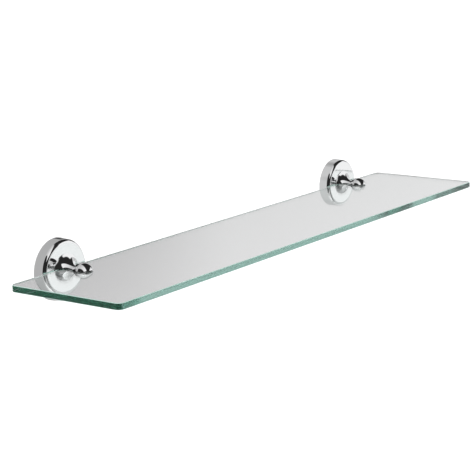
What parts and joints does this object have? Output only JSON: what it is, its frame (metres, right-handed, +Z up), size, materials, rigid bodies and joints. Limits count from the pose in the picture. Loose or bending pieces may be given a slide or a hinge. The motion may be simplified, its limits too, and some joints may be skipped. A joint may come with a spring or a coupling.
{
  "type": "wall shelf",
  "caption": "Rectangular glass wall shelf whose rear edge is clamped in slotted ball-ended posts on round chrome wall roses.",
  "frame": {"origin": "on the wall plane, midway between the brackets and level with their axes, which is the middle of the glass", "axes": "+X along the shelf, +Y into the wall, +Z up; the shelf stands out from the wall towards -Y"},
  "size_m": [0.6, 0.1334, 0.056],
  "materials": {
    "glass": "clear float glass with polished green edges",
    "chrome": "bright chrome plate, polished",
    "cast_zinc": "as-cast zinc alloy, dull",
    "plain_brass": "plain turned brass",
    "plated_steel": "bright zinc-plated steel",
    "clear_vinyl": "clear soft vinyl",
    "nylon": "natural nylon"
  },
  "bodies": {
    "brackets": {"left_wall_plate": "cast_zinc", "left_rose": "chrome", "left_post": "chrome", "left_lock_nut": "plain_brass", "left_lock_washer": "plated_steel", "left_upper_liner": "clear_vinyl", "left_lower_liner": "clear_vinyl", "right_wall_plate": "cast_zinc", "right_rose": "chrome", "right_post": "chrome", "right_lock_nut": "plain_brass", "right_lock_washer": "plated_steel", "right_upper_liner": "clear_vinyl", "right_lower_liner": "clear_vinyl"},
    "glass": {"glass_shelf": "glass"},
    "left_pad": {"left_pressure_pad": "nylon"},
    "left_clamp": {"left_clamp_screw": "plated_steel"},
    "left_set": {"left_rose_set_screw": "plated_steel"},
    "right_pad": {"right_pressure_pad": "nylon"},
    "right_clamp": {"right_clamp_screw": "plated_steel"},
    "right_set": {"right_rose_set_screw": "plated_steel"}
  },
  "joints": [
    {"name": "glass_slide", "type": "slide", "parent": "brackets", "child": "glass", "axis": [0, -1, 0], "range_m": [0, 0.028]},
    {"name": "left_pad_slide", "type": "slide", "parent": "brackets", "child": "left_pad", "axis": [0, 0, -1], "range_m": [0, 0.0016]},
    {"name": "left_clamp_turn", "type": "hinge", "parent": "left_pad", "child": "left_clamp", "pos_m": [-0.228, -0.032, -0.007], "axis": [0, 0, -1], "range_deg": [0, 720]},
    {"name": "left_set_screw_back_out", "type": "slide", "parent": "brackets", "child": "left_set", "axis": [0, 0, -1], "range_m": [0, 0.003]},
    {"name": "right_pad_slide", "type": "slide", "parent": "brackets", "child": "right_pad", "axis": [0, 0, -1], "range_m": [0, 0.0016]},
    {"name": "right_clamp_turn", "type": "hinge", "parent": "right_pad", "child": "right_clamp", "pos_m": [0.228, -0.032, -0.007], "axis": [0, 0, -1], "range_deg": [0, 720]},
    {"name": "right_set_screw_back_out", "type": "slide", "parent": "brackets", "child": "right_set", "axis": [0, 0, -1], "range_m": [0, 0.003]}
  ],
  "couplings": [
    {"joint": "left_clamp_turn", "follows": "left_pad_slide", "rad_per_m": 7854},
    {"joint": "right_clamp_turn", "follows": "right_pad_slide", "rad_per_m": 7854}
  ]
}
